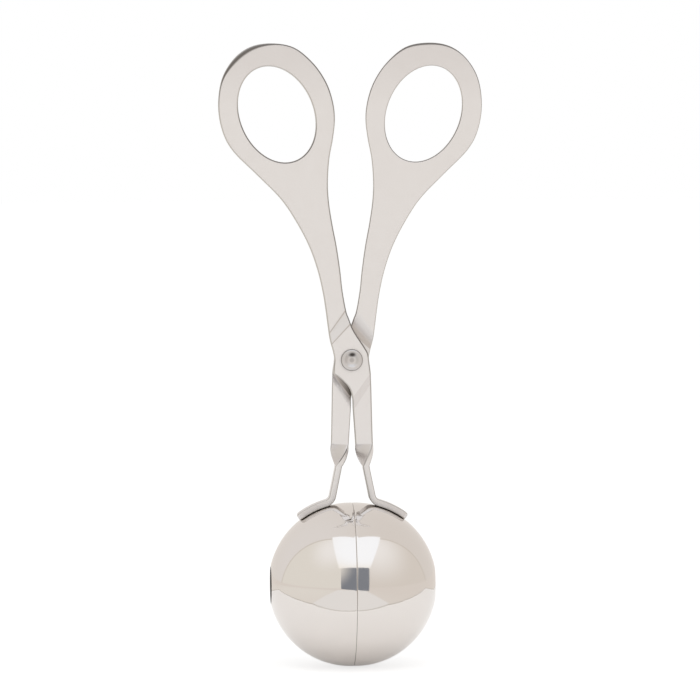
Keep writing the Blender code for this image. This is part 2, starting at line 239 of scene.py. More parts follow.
class TongsArms(PropertyGroup):
    """Sizes and finish of the two stamped arms."""

    sheet: length_of("Sheet", "Thickness of the steel sheet", 0.0020)
    rolled_edge: length_of("Rolled edge", "Radius of the edge on the front face", 0.00045)
    sheared_edge: length_of("Sheared edge", "Radius of the edge on the back face", 0.00030)
    handle_reach: length_of("Handle reach", "From the rivet to the loop's top", 0.0965)
    handle_spread: length_of("Handle spread", "From the rivet out to the loop's side", 0.0402)
    pad_half_width: length_of("Pad half width", "Half the width beside the rivet", 0.0053)
    rivet_hole: length_of("Rivet hole", "Radius of the hole for the rivet", 0.0022)
    hole_length: length_of("Finger hole length", "Inside the loop, along it", 0.0302)
    hole_width: length_of("Finger hole width", "Inside the loop, across it", 0.0223)
    shank_width: length_of("Shank width", "Width of the narrow strip", 0.0054)
    twist_length: length_of("Twist length", "How far the quarter turn takes", 0.0069)
    strip_lean: angle_of("Strip lean", "How far the strip leans out below the twist", 11.6)
    foot_length: length_of("Foot length", "How far the foot runs along the ball", 0.0096)
    face_colour: colour_of("Face colour", "Steel of the flat faces", "e1dfdf")
    # Painted shade: the slope, formed and deep colours stand in for shade and shadow on the arm
    slope_shade_colour: colour_of("Slope colour", "Steel on the front of a joggle's slope", "d7d4d4")
    painted_shade_colour: colour_of("Formed colour", "Steel on its back, and in the twist", "c2bcb8")
    painted_shadow_colour: colour_of("Deep colour", "Steel beside the other arm's pad", "57514c")
    edge_colour: colour_of("Edge colour", "Steel along the rounded edges", "c2bfbb")
    # Painted shade: edges that face up are drawn in the dark edge colour
    shaded_edge_colour: colour_of("Dark edge colour", "Edges that face up", "6f6b68")
    roughness: share_of("Roughness", "How soft the faces' reflections are", 0.38)


class TongsBall(PropertyGroup):
    """Sizes and finish of the two half shells."""

    radius: length_of("Radius", "Outside radius of the ball", round(BALL_CENTRE.z, 6))
    wall: length_of("Wall", "Thickness of the shell", 0.0008)
    lip: length_of("Lip", "Straight part of the shell at the seam", 0.0006)
    pole_hole: length_of("Pole hole", "Radius of the hole at each pole", 0.0057)
    rim_round: length_of("Rim rounding", "Rounding of the cut rims", 0.00018)
    colour: colour_of("Colour", "Polished steel", "e1dcd8")
    # Painted shade: the pole hole's punched wall is drawn dark, standing in for the shade in the
    # hole
    hole_shade_colour: colour_of("Cut colour", "Punched wall of the pole hole", "4d4743")
    roughness: share_of("Roughness", "How soft the reflections are", 0.05)
    inside_roughness: share_of("Inside roughness", "The same inside, where nobody buffed it", 0.36)


class TongsRivet(PropertyGroup):
    """Sizes and finish of the rivet."""

    shank: length_of("Shank", "Radius of the shank", 0.0021)
    head: length_of("Head", "Radius of the head behind", 0.00375)
    head_height: length_of("Head height", "How far the head stands up", 0.0011)
    roll: length_of("Roll", "Radius of the rolled end in front", 0.00330)
    roll_height: length_of("Roll height", "How far the rolled end stands up", 0.0006)
    bore: length_of("Bore", "Radius of the tube's bore", 0.0016)
    bore_depth: length_of("Bore depth", "Depth of the bore", 0.0003)
    colour: colour_of("Colour", "Turned steel", "bfbcbb")
    # Painted shade: the groove's upper part is drawn dark, standing in for its shadow
    groove_shade_colour: colour_of("Grease colour", "Dark grease in the groove's upper part", "4e4a48")
    # Painted shade: the dark line along the roll's outer edge
    rim_shade_colour: colour_of("Line colour", "Outer edge of the roll", "888482")
    roughness: share_of("Roughness", "How soft the reflections are", 0.33)


class TongsStage(PropertyGroup):
    """Camera, lights and what stands round the object."""

    azimuth: angle_of("Azimuth", "How far the camera stands to the right", -3.4)
    elevation: angle_of("Elevation", "How far the camera stands above", 3.1)
    roll: angle_of("Roll", "How far the object's top leans left", 0.3)
    distance: length_of("Distance", "From the camera to the rivet", 1.592)
    view_width: length_of("View width", "Width of the picture at the rivet", 0.2137)
    softbox_power: FloatProperty(
        name="Softbox power", description="Power of the lamp", default=12.5, min=0.0, unit="POWER"
    )
    paper: colour_of("Paper", "White paper on the table", "fbfaf9")
    room: colour_of("Room", "The room between the lamp and the walls", "f2efe9")
    # Painted light: the table is drawn in the left colour near a point in front and to the left
    left_table: colour_of("Left table", "Table to the paper's left", "f7f4ee")
    right_table: colour_of("Right table", "Table to the paper's right", "f0eae4")
    glow: colour_of("Glow", "The walls where the lamp lights them", "fffefd")
    left_wall: colour_of("Left wall", "The left wall further away", "f6f3ec")
    right_wall: colour_of("Right wall", "The right wall further away", "ece6df")
    wall_edge: colour_of("Wall edge", "Slanted edges of the walls", "ddd6cc")
    tent: colour_of("Tent", "Pale cloth above and behind the object", "eee9e4")
    tent_glow: colour_of("Tent glow", "The cloth where light falls through it", "f5f2f0")
    paper_edge_shadow: colour_of("Paper line", "Shadow along the paper's edge", "cbc6be")
    card: colour_of("Card", "Grey card in front of the ball", "8c919a")


# Shank path


def leaned(lean):
    """Directions along and across the strip, where it leans out from straight down."""
    along = Vector((math.sin(lean), -math.cos(lean)))
    across = Vector((math.cos(lean), math.sin(lean)))
    return along, across


def step_along(start, lean, length, turn):
    """The end of a straight stretch, or of an arc that turns the lean by this much."""
    if turn == 0:
        return start + leaned(lean)[0] * length
    radius = length / turn
    rise = math.sin(lean + turn) - math.sin(lean)
    return start + Vector((math.cos(lean) - math.cos(lean + turn), -rise)) * radius


def twist_start():
    return Vector((SHANK_OFFSET, -TWIST_DROP))


def shank_stretches(arm, ball):
    """(length, turn) of each stretch of the strip's centre line below the twist's start.

    The straight stretch is as long as brings the foot's bend tangent to the ball.
    """
    straight = arm.twist_length / 2
    sweep = arm.strip_lean - SHANK_LEAN
    end = step_along(twist_start(), SHANK_LEAN, straight, 0)
    end = step_along(end, SHANK_LEAN, SWEEP_LENGTH, sweep)
    along, across = leaned(arm.strip_lean)
    foot_radius = ball.radius + FOOT_GAP + arm.sheet / 2
    reach = foot_radius + FOOT_BEND_RADIUS
    ball_centre = Vector((PLAY / 2 + ball.lip, BALL_CENTRE.z - PIVOT.z))
    offset = end + across * FOOT_BEND_RADIUS - ball_centre
    down = offset.dot(along)
    drop = -down - math.sqrt(down * down - offset.length_squared + reach * reach)
    bend_centre = offset + along * drop
    bend = math.atan2(bend_centre.y, bend_centre.x) - arm.strip_lean
    return (
        (straight, 0),
        (SWEEP_LENGTH, sweep),
        (drop, 0),
        (FOOT_BEND_RADIUS * bend, bend),
        (arm.foot_length, -arm.foot_length / foot_radius),
    )


def along_shank(stretches, distance):
    """(centre, lean) of the strip this far below the twist's start."""
    centre = twist_start()
    lean = SHANK_LEAN
    for length, turn in stretches:
        if distance <= length or (length, turn) == stretches[-1]:
            part = turn * distance / length
            return step_along(centre, lean, distance, part), lean + part
        centre = step_along(centre, lean, length, turn)
        lean += turn
        distance -= length


# Flat blank


def smooth_through(points, before, after, steps):
    """A Catmull-Rom curve through the points, whose ends head from before and to after."""
    chain = [before, *points, after]
    curve = []
    for a, b, c, d in zip(chain, chain[1:], chain[2:], chain[3:]):
        for step in range(steps):
            t = step / steps
            bend = (a * 2 - b * 5 + c * 4 - d) * t * t + (b * 3 - c * 3 + d - a) * t * t * t
            curve.append(b + ((c - a) * t + bend) / 2)
    curve.append(points[-1])
    return curve


def on_strip(distance, sideways):
    """A point of the flat strip, before it is twisted and bent."""
    along, across = leaned(SHANK_LEAN)
    return twist_start() + along * distance + across * sideways


def place_on_strip(flat):
    """How far a point of the blank lies below the twist's start and to its outer side."""
    offset = flat - twist_start()
    along, across = leaned(SHANK_LEAN)
    return offset.dot(along), offset.dot(across)


def foot_end(arm, length):
    """The strip's end, with rounded corners, from its inner side to its outer side."""
    half = arm.shank_width / 2 - FOOT_CORNER_RADIUS
    points = []
    for side in (-1, 1):
        for step in range(CORNER_STEPS + 1):
            quarter = math.pi / 2 * step / CORNER_STEPS
            angle = quarter if side > 0 else math.pi / 2 - quarter
            down = length - FOOT_CORNER_RADIUS * (1 - math.cos(angle))
            points.append(on_strip(down, side * (half + FOOT_CORNER_RADIUS * math.sin(angle))))
    return points


def handle_point(arm, share):
    out, up = share
    pad_top = arm.pad_half_width * PAD_RISING_SHARES[-1][1]
    return Vector((-arm.handle_spread * out, pad_top + (arm.handle_reach - pad_top) * up))


def blank_outline(arm, length):
    """The arm's outline, anticlockwise as seen from the front."""
    half = arm.shank_width / 2
    rising = [Vector(share) * arm.pad_half_width for share in PAD_RISING_SHARES]
    falling = [Vector(share) * arm.pad_half_width for share in PAD_FALLING_SHARES]
    handle = [handle_point(arm, share) for share in HANDLE_SHARES]
    points = [on_strip(0, half), *rising, *handle, *falling, on_strip(0, -half)]
    before = on_strip(arm.shank_width, half)
    after = on_strip(arm.shank_width, -half)
    return smooth_through(points, before, after, SPAN_STEPS) + foot_end(arm, length)


def cut_hole(form, centre, width, length, lean, steps):
    """An upright ring of edges for an oval hole in the sheet."""
    upright = Matrix.Rotation(math.pi / 2, 4, "X") @ Matrix.Diagonal((width, length, 1, 1))
    turned_to = Matrix.Rotation(-lean, 4, "Y") @ upright
    place = Matrix.Translation((centre.x, 0, centre.y)) @ turned_to
    bmesh.ops.create_circle(form, cap_ends=False, segments=steps, radius=0.5, matrix=place)


def roll_edge(form, faces, radius, steps):
    """Rounds a face of the sheet over into its edge, then leaves a narrow flat border."""
    turns = [math.pi / 2 * step / steps for step in range(steps + 1)]
    insets = [
        (radius * (math.cos(here) - math.cos(there)), radius * (math.sin(there) - math.sin(here)))
        for here, there in zip(turns, turns[1:])
    ]
    even = {"use_boundary": True, "use_even_offset": True}
    for thickness, depth in (*insets, (FLAT_BORDER, 0)):
        bmesh.ops.inset_region(form, faces=faces, thickness=thickness, depth=depth, **even)


def grind_edge(form, arm, centre, side, radius, grind):
    """Widens the rounded outer edge of the loop on one face, most in the grind's middle."""
    middle, reach, widening = grind
    for vert in form.verts:
        below_face = arm.sheet / 2 - side * vert.co.y
        out = Vector((vert.co.x, vert.co.z)) - centre
        away = abs(math.remainder(math.atan2(out.y, out.x) - middle, math.tau))
        if below_face > radius or away > reach or out.length < arm.hole_length / 2 + HOLE_MARGIN:
            continue
        rise = 1 - below_face / radius
        inset = radius * (1 - math.sqrt(max(0, 1 - rise * rise)))
        moved = out.normalized() * inset * widening * math.cos(math.pi / 2 * away / reach) ** 2
        vert.co -= Vector((moved.x, 0, moved.y))


def stamped_blank(arm, length):
    """The blank, cut from flat sheet with its two holes, and its edges rounded."""
    form = bmesh.new()
    ring = [form.verts.new((x, 0, z)) for x, z in blank_outline(arm, length)]
    for pair in zip(ring, ring[1:] + ring[:1]):
        form.edges.new(pair)
    finger_hole = handle_point(arm, FINGER_HOLE_PLACE_SHARES)
    cut_hole(form, finger_hole, arm.hole_width, arm.hole_length, FINGER_HOLE_LEAN, HOLE_STEPS)
    rivet_hole = arm.rivet_hole * 2
    cut_hole(form, Vector((0, 0)), rivet_hole, rivet_hole, 0, HOLE_STEPS // 2)
    bmesh.ops.triangle_fill(form, use_beauty=True, edges=form.edges[:])
    back = form.faces[:]
    grown = bmesh.ops.extrude_face_region(form, geom=back)["geom"]
    front = [part for part in grown if isinstance(part, bmesh.types.BMFace)]
    half = arm.sheet / 2
    for faces, y in ((front, arm.rolled_edge - half), (back, half - arm.sheared_edge)):
        for vert in {vert for face in faces for vert in face.verts}:
            vert.co.y = y
    bmesh.ops.recalc_face_normals(form, faces=form.faces)
    roll_edge(form, front, arm.rolled_edge, ROLL_STEPS)
    roll_edge(form, back, arm.sheared_edge, SHEAR_STEPS)
    grind_edge(form, arm, finger_hole, -1, arm.rolled_edge, FRONT_GRIND)
    grind_edge(form, arm, finger_hole, 1, arm.sheared_edge, BACK_GRIND)
    return form


# Bending


def unit(angle):
    return Vector((math.cos(angle), math.sin(angle)))


def crease(joggle, share):
    """(normal, offset) of the line this share of the way across a joggle."""
    (pad_angle, pad_distance), (far_angle, far_distance) = joggle
    normal = unit(pad_angle).lerp(unit(far_angle), share)
    return normal, pad_distance * (1 - share) + far_distance * share


def stepped(share):
    """How much of its step a joggle has made here: a round bend, a straight slope, a bend."""
    near = min(share, 1 - share)
    slope = 1 / (1 - JOGGLE_BEND_SHARE)
    if near < JOGGLE_BEND_SHARE:
        made = slope * near * near / (2 * JOGGLE_BEND_SHARE)
    else:
        made = slope * (near - JOGGLE_BEND_SHARE / 2)
    return made if share == near else 1 - made


def joggle_share(point, joggle):
    """Less than 0 on the pad, more than 1 past the joggle, and in between on its slope."""
    (pad_angle, pad_distance), (far_angle, far_distance) = joggle
    past_pad = point.dot(unit(pad_angle)) - pad_distance
    short_of_far = far_distance - point.dot(unit(far_angle))
    if short_of_far <= 0:
        return 1.0
    return past_pad / max(past_pad + short_of_far, JOGGLE_LEAST_WIDTH)


def clamped(value):
    return min(max(value, 0.0), 1.0)


def painted_shade_share(point, arm):
    """How much painted shade the sheet gets here, as the place of its colour on the shade scale."""
    flat = Vector((point.x, point.z))
    down, sideways = place_on_strip(flat)
    below = down / arm.twist_length
    inner = clamped(0.5 - sideways / arm.shank_width)
    darkest = LOOP_SHADE * clamped((point.z - LOOP_SHADE_START) / LOOP_SHADE_FADE)
    if below > INNER_SHADE_START and point.y < -FACE_SHARE * arm.sheet:
        darkest = INNER_SHADE * clamped((below - INNER_SHADE_START) / INNER_SHADE_FADE)
    elif below > FOOT_SHADE_START:
        darkest = FOOT_SHADE * clamped(below - FOOT_SHADE_START)
    elif abs(point.y) > FACE_SHARE * arm.sheet:
        darkest = max(darkest, TWIST_SHADE * clamped(min(below, 1 - below) / TWIST_SHADE_FADE))
    upper, lower = (joggle_share(flat, joggle) for joggle in (UPPER_JOGGLE, LOWER_JOGGLE))
    if point.y > 0:
        fades = [
            clamped((share - start) / BACK_SHADE_FADE)
            for share, start in zip((upper, lower), BACK_SHADE_STARTS)
        ]
        painted_shadow = (0.66 + 0.34 * inner) * clamped((LOWER_SHADE_END - lower) / LOWER_SHADE_END)
        return max(darkest, BACK_SHADE * fades[0] * clamped(1 - upper), painted_shadow * fades[1])
    for share, (crease_shade, slope_shade) in zip((upper, lower), FRONT_SHADES):
        creased = min(share, 1 - share) / CREASE_SHARE
        if creased > 1:
            made = max(slope_shade, crease_shade - (crease_shade - slope_shade) * (creased - 1))
        else:
            made = crease_shade * clamped(creased)
        darkest = max(darkest, made)
    return darkest


def cut(form, point, normal, **choices):
    geometry = form.verts[:] + form.edges[:] + form.faces[:]
    bmesh.ops.bisect_plane(form, geom=geometry, plane_co=point, plane_no=normal, **choices)


def cut_bends(form, arm, stretches):
    """Adds a line of vertices wherever the sheet has to bend."""
    bend = [JOGGLE_BEND_SHARE * step / JOGGLE_STEPS for step in range(JOGGLE_STEPS + 1)]
    rest = (-0.05, *bend, LOWER_SHADE_END, *[1 - share for share in bend], 1.05)
    for joggle, start in zip((UPPER_JOGGLE, LOWER_JOGGLE), BACK_SHADE_STARTS):
        for share in (start, start + BACK_SHADE_FADE, *rest):
            normal, offset = crease(joggle, share)
            x, z = normal * (offset / normal.length_squared)
            cut(form, (x, 0, z), (normal.x, 0, normal.y), dist=WELD_DISTANCE)
    stations = [arm.twist_length * step / TWIST_STEPS for step in range(TWIST_STEPS + 1)]
    start = 0
    for length, turn in stretches:
        if turn:
            stations += [start + length * step / BEND_STEPS for step in range(BEND_STEPS + 1)]
        start += length
    stations[-1:] = [start - FOOT_TIP * share for share in FOOT_TIP_SHARES]
    along, _ = leaned(SHANK_LEAN)
    for station in stations:
        x, z = on_strip(station, 0)
        cut(form, (x, 0, z), (along.x, 0, along.y), dist=WELD_DISTANCE)


def bent(point, arm, stretches):
    """Where a point of the flat blank lies on the finished arm."""
    flat = Vector((point.x, point.z))
    below, sideways = place_on_strip(flat)
    if below <= 0:
        shares = [joggle_share(flat, joggle) for joggle in (UPPER_JOGGLE, LOWER_JOGGLE)]
        share = sum(stepped(clamped(share)) for share in shares)
        pad_offset = (arm.sheet + PLAY) / 2
        return Vector((point.x, point.y - pad_offset * (1 - share), point.z))
    centre, lean = along_shank(stretches, below)
    _, outward = leaned(lean)
    twist = math.pi / 2 * min(below / arm.twist_length, 1)
    # The foot's end is rounded over on top
    tip = clamped(1 - (sum(length for length, _ in stretches) - below) / FOOT_TIP)
    thickness = point.y - FOOT_TIP * (1 - math.sqrt(1 - tip * tip)) * (0.5 + point.y / arm.sheet)
    out = sideways * math.cos(twist) + thickness * math.sin(twist)
    depth = point.y * math.cos(twist) - sideways * math.sin(twist)
    place = centre + outward * out
    return Vector((place.x, depth, place.y))


def arm_form(arm, ball):
    """The arm, stamped, joggled, twisted and bent, about the rivet."""
    stretches = shank_stretches(arm, ball)
    form = stamped_blank(arm, sum(length for length, _ in stretches))
    cut_bends(form, arm, stretches)
    through, upward, painted_shade = (
        form.verts.layers.float.new(name) for name in ("through_sheet", "upward", "painted_shade")
    )
    form.normal_update()
    for vert in form.verts:
        outward = Vector((vert.normal.x, vert.normal.z))
        vert[through] = 0.5 + vert.co.y / arm.sheet
        vert[painted_shade] = painted_shade_share(vert.co, arm)
        # How far each edge faces up, for the painted shade on edges that face up
        vert[upward] = 0.5 + 0.5 * outward.normalized().y if outward.length > 0.01 else 0.5
        # Painted shade: the twist's inner edge is drawn as dark as the edges that face up
        start, end = (arm.twist_length * share for share in TWIST_EDGE_ENDS)
        down, sideways = place_on_strip(Vector((vert.co.x, vert.co.z)))
        if start < down < end and sideways + arm.shank_width / 2 < TWIST_EDGE:
            vert[upward] = 1.0
    for vert in form.verts:
        vert.co = bent(vert.co, arm, stretches)
    return form


# Turned pieces


def turned_form(form, axis, steps):
    """Spins the profile in the form a full turn about the X or Y axis."""
    profile = form.verts[:] + form.edges[:]
    turn = {"axis": axis, "angle": math.tau, "steps": steps, "use_merge": True}
    bmesh.ops.spin(form, geom=profile, cent=(0, 0, 0), **turn)
    bmesh.ops.remove_doubles(form, verts=form.verts, dist=WELD_DISTANCE)
    bmesh.ops.recalc_face_normals(form, faces=form.faces)
    return form


def cup_form(ball):
    """The half shell on the +X side, open at the seam and at its pole."""
    form = bmesh.new()
    seam = SEAM_GAP / 2
    centre = PLAY / 2 + ball.lip
    ends = []
    for radius in (ball.radius, ball.radius - ball.wall):
        lip = form.verts.new((seam, 0, radius))
        start = form.verts.new((centre, 0, radius))
        form.edges.new((lip, start))
        arc = {"axis": (0, 1, 0), "angle": math.acos(ball.pole_hole / radius), "steps": ARC_STEPS}
        spun = bmesh.ops.spin(form, geom=[start], cent=(centre, 0, 0), **arc)
        pole = [part for part in spun["geom_last"] if isinstance(part, bmesh.types.BMVert)]
        ends.append((lip, pole[0]))
    for pair in zip(*ends):
        form.edges.new(pair)
    turned_form(form, (1, 0, 0), TURN_STEPS)
    rims = [edge for edge in form.edges if edge.calc_face_angle(0) > math.radians(45)]
    bmesh.ops.bevel(
        form,
        geom=rims,
        offset=ball.rim_round,
        segments=RIM_STEPS,
        profile=0.5,
        affect="EDGES",
        material=-1,
        clamp_overlap=True,
    )
    punched, inside = (form.verts.layers.float.new(name) for name in ("punched", "inside"))
    for vert in form.verts:
        off_axis = math.hypot(vert.co.y, vert.co.z)
        off_centre = math.hypot(off_axis, vert.co.x - centre)
        vert[punched] = 1.0 if off_axis < ball.pole_hole + ball.rim_round / 2 else 0.0
        vert[inside] = 1.0 if off_centre < ball.radius - ball.wall / 2 else 0.0
    return form


def rivet_form(rivet, arm):
    """The rivet, from the middle of the head behind to the bore's floor in front."""
    seat = (arm.sheet + PLAY) / 2 + arm.sheet / 2 + PLAY
    head = [Vector((seat + rivet.head_height * h, rivet.head * r)) for r, h in HEAD_SHARES]
    roll = [Vector((-seat - rivet.roll_height * h, rivet.roll * r)) for r, h in ROLL_SHARES]
    bore = [Vector((-seat + rivet.bore_depth * d, rivet.bore * r)) for r, d in BORE_SHARES]
    front = roll + bore
    head_curve = smooth_through(head, head[1], head[-1], PROFILE_STEPS)
    front_curve = smooth_through(front, front[0], front[-2], PROFILE_STEPS)
    shank = [Vector((seat, head[-2].y)), Vector((seat, rivet.shank)), Vector((-seat, rivet.shank))]
    profile = head_curve + shank + front_curve
    form = bmesh.new()
    verts = [form.verts.new((0, along, max(radius, 0))) for along, radius in profile]
    for pair in zip(verts, verts[1:]):
        form.edges.new(pair)
    return turned_form(form, (0, 1, 0), TURN_STEPS // 2)


def finished_piece(names, form, move, material):
    """Makes the named piece of the form, in place of its node, on its side of the tongs."""
    name, node, body = names
    bmesh.ops.remove_doubles(form, verts=form.verts, dist=WELD_DISTANCE)
    bmesh.ops.recalc_face_normals(form, faces=form.faces)
    bmesh.ops.transform(form, matrix=move, verts=form.verts)
    mesh = bpy.data.meshes.new(name)
    form.to_mesh(mesh)
    form.free()
    mesh.materials.append(material)
    mesh.shade_smooth()
    piece = bpy.data.objects.new(name, mesh)
    bpy.context.scene.collection.objects.link(piece)
    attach(piece, body)
    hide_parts(node)


def finished_pair(pair, made, centre, material):
    """Makes the piece of the front arm's side, and its like turned half a turn."""
    for names, turn in zip(pair, (0, math.pi)):
        move = Matrix.Translation(centre) @ Matrix.Rotation(turn, 4, "Z")
        finished_piece(names, made(), move, material)


# Materials

# Settings that several nodes share
SMOOTHLY = {"interpolation_type": "SMOOTHSTEP"}
IN_COLOUR = {"data_type": "RGBA"}


def opaque(colour):
    return (*colour, 1.0)


def add_node(tree, kind, settings=None, inputs=None, links=None):
    """Adds a shader node, with its settings, its inputs' values and what feeds them.

    What feeds them is a socket, or a node's first output.
    """
    node = tree.nodes.new("ShaderNode" + kind)
    for key, value in (settings or {}).items():
        setattr(node, key, value)
    for key, value in (inputs or {}).items():
        socket = node.inputs[key]
        socket.default_value = opaque(value) if socket.type == "RGBA" else value
    for key, source in (links or {}).items():
        socket = source.outputs[0] if isinstance(source, bpy.types.Node) else source
        tree.links.new(socket, node.inputs[key])
    return node


def new_material(name, draw, *settings):
    """A material whose surface is the shader that draw adds to its node tree."""
    material = bpy.data.materials.new(name)
    material.use_nodes = True
    tree = material.node_tree
    tree.nodes.clear()
    add_node(tree, "OutputMaterial", links={"Surface": draw(tree, *settings)})
    return material


def set_stops(ramp, stops):
    """Gives a colour ramp its stops: position and colour."""
    elements = ramp.color_ramp.elements
    while len(elements) < len(stops):
        elements.new(1.0)
    for element, (position, colour) in zip(elements, stops):
        element.position = position
        element.color = opaque(colour)


def seen_from(tree, centre, scale=(1.0, 1.0, 1.0)):
    """Scaled places on a piece as seen from a centre, and how far off each is."""
    place = add_node(tree, "TexCoord").outputs["Object"]
    location = [-part * factor for part, factor in zip(centre, scale)]
    mapping = {"Location": location, "Scale": scale}
    seen = add_node(tree, "Mapping", inputs=mapping, links={"Vector": place})
    away = add_node(tree, "VectorMath", {"operation": "LENGTH"}, links={0: seen})
    return seen, away.outputs["Value"]


def tumbled_stainless(tree, arm):
    """Stainless sheet, tumbled after stamping: a soft even satin, darker along the edges."""
    place = add_node(tree, "TexCoord").outputs["Object"]
    # Tumbling leaves patches about 4 mm across that reflect a little more or less softly
    noise = {"Scale": 1 / 0.004, "Detail": 3.0, "Roughness": 0.55}
    patches = add_node(tree, "TexNoise", inputs=noise, links={"Vector": place})
    low, high = arm.roughness - 0.02, arm.roughness + 0.02
    ends = {"From Min": 0.35, "From Max": 0.65, "To Min": low, "To Max": high}
    gloss = add_node(tree, "MapRange", inputs=ends, links={"Value": patches})
    # The stones' pits are about 0.05 mm, and are drawn at 0.25 mm so that they show
    noise = {"Scale": 1 / 0.00025, "Detail": 2.0, "Roughness": 0.6}
    pits = add_node(tree, "TexNoise", inputs=noise, links={"Vector": place})
    strength = {"Strength": 0.08, "Distance": 0.00002}
    relief = add_node(tree, "Bump", inputs=strength, links={"Height": pits})
    depth, upward, painted_shade = (
        add_node(tree, "Attribute", {"attribute_name": name}).outputs["Fac"]
        for name in ("through_sheet", "upward", "painted_shade")
    )
    # Through the sheet, from the front face's rolled edge to the back face's sheared one
    rounding = add_node(tree, "ValToRGB", links={"Fac": depth})
    shares = ((0, 0), (0.012, 1), (0.07, 1), (0.16, 0.4), (0.28, 0))
    shares += ((0.85, 0), (0.93, 1), (0.985, 1), (1, 0))
    set_stops(rounding, [(position, (share,) * 3) for position, share in shares])
    # Painted shade: edges that face up are drawn darker
    ends = {"From Min": 0.38, "From Max": 0.72}
    upward_shade = add_node(tree, "MapRange", SMOOTHLY, ends, {"Value": upward})
    colours = {6: arm.edge_colour, 7: arm.shaded_edge_colour}
    edge = add_node(tree, "Mix", IN_COLOUR, colours, {0: upward_shade})
    # Painted shade on the joggles, the twist, the strip, the foot and the loop's top, most along
    # the front's creases, and painted shadow on the back beside the other arm's pad
    painted_shade_ramp = add_node(tree, "ValToRGB", links={"Fac": painted_shade})
    colours = (arm.face_colour, arm.slope_shade_colour, arm.painted_shade_colour, arm.painted_shadow_colour)
    set_stops(painted_shade_ramp, list(zip(PAINTED_SHADE_STOPS, colours)))
    links = {0: rounding, 6: painted_shade_ramp, 7: edge.outputs[2]}
    colour = add_node(tree, "Mix", IN_COLOUR, links=links)
    links = {"Base Color": colour.outputs[2], "Roughness": gloss, "Normal": relief}
    return add_node(tree, "BsdfPrincipled", None, {"Metallic": 1.0}, links)


def mirror_stainless(tree, ball):
    """Stainless shell, buffed to a mirror: sharp reflections with faint handling haze."""
    # Haze from wiping, in patches about 9 mm across
    place = add_node(tree, "TexCoord").outputs["Object"]
    noise = {"Scale": 1 / 0.009, "Detail": 4.0, "Roughness": 0.6}
    haze = add_node(tree, "TexNoise", inputs=noise, links={"Vector": place})
    low, high = ball.roughness, ball.roughness + 0.05
    ends = {"From Min": 0.4, "From Max": 0.7, "To Min": low, "To Max": high}
    gloss = add_node(tree, "MapRange", inputs=ends, links={"Value": haze})
    punched, inside = (
        add_node(tree, "Attribute", {"attribute_name": name}).outputs["Fac"]
        for name in ("punched", "inside")
    )
    # The inside was only drawn smooth by the press
    links = {0: inside, 2: gloss}
    softness = add_node(tree, "Mix", inputs={3: ball.inside_roughness}, links=links)
    # Painted shade: the pole hole's punched wall is drawn dark, standing in for the shade in the
    # hole
    colour = add_node(tree, "Mix", IN_COLOUR, {6: ball.colour, 7: ball.hole_shade_colour}, {0: punched})
    links = {"Base Color": colour.outputs[2], "Roughness": softness}
    return add_node(tree, "BsdfPrincipled", None, {"Metallic": 1.0}, links)


def turned_stainless(tree, rivet):
    """Stainless rivet, turned and then rolled over: fine rings, and painted light and shade."""
    seen, distance = seen_from(tree, PIVOT, (1.0, 0.0, 1.0))
    reach = add_node(tree, "MapRange", inputs={"From Max": rivet.head}, links={"Value": distance})
    # Painted light and shade: rings drawn lighter and darker across the rivet stand in for the
    # light and shade on its relief, and the dark line at the roll's outer edge for shade there
    ramp = add_node(tree, "ValToRGB", links={"Fac": reach})
    plain, line = Vector(rivet.colour), Vector(rivet.rim_shade_colour)
    shades = ((0, 0.85), (0.13, 0.85), (0.25, 1.2), (0.42, 0.98), (0.60, 1.08), (0.80, 1.1))
    stops = [(position, plain * shade) for position, shade in shades]
    set_stops(ramp, [*stops, (0.855, line), (0.885, line)])
    # Painted light: the lower part is drawn brighter and the upper part darker
    height = add_node(tree, "SeparateXYZ", links={"Vector": seen}).outputs["Z"]
    ends = {"From Min": -rivet.roll, "From Max": rivet.roll, "To Min": 1.12, "To Max": 0.94}
    painted_lower_light = add_node(tree, "MapRange", inputs=ends, links={"Value": height})
    scaling = {"operation": "SCALE"}
    colour = add_node(tree, "VectorMath", scaling, links={0: ramp, "Scale": painted_lower_light})
    # Painted shade: a dark spot in the groove's upper part, about 2 mm across
    centre = PIVOT + Vector((GROOVE_SHADE_RIGHT, 0, GROOVE_SHADE_RISE))
    _, off_spot = seen_from(tree, centre, (1 / GROOVE_SHADE_HALF_WIDTH, 0.0, 1 / GROOVE_SHADE_HALF_HEIGHT))
    ends = {"From Min": 0.3, "From Max": 1.25, "To Min": 1.0, "To Max": 0.0}
    groove_shade_share = add_node(tree, "MapRange", SMOOTHLY, ends, {"Value": off_spot})
    links = {0: groove_shade_share, 6: colour}
    groove_shaded = add_node(tree, "Mix", IN_COLOUR, {7: rivet.groove_shade_colour}, links)
    # Turning rings are about 0.05 mm apart, and are drawn at 0.3 mm so that they show
    turns = add_node(tree, "Math", {"operation": "MULTIPLY"}, {1: math.tau / 0.0003}, {0: distance})
    rings = add_node(tree, "Math", {"operation": "SINE"}, links={0: turns})
    strength = {"Strength": 0.15, "Distance": 0.00001}
    relief = add_node(tree, "Bump", inputs=strength, links={"Height": rings})
    finish = {"Metallic": 1.0, "Roughness": rivet.roughness}
    links = {"Base Color": groove_shaded.outputs[2], "Normal": relief}
    return add_node(tree, "BsdfPrincipled", None, finish, links)


def shining_card(tree, colour):
    """A matt card that looks as bright as its colour, however it is lit."""
    return add_node(tree, "Emission", inputs={"Color": colour})


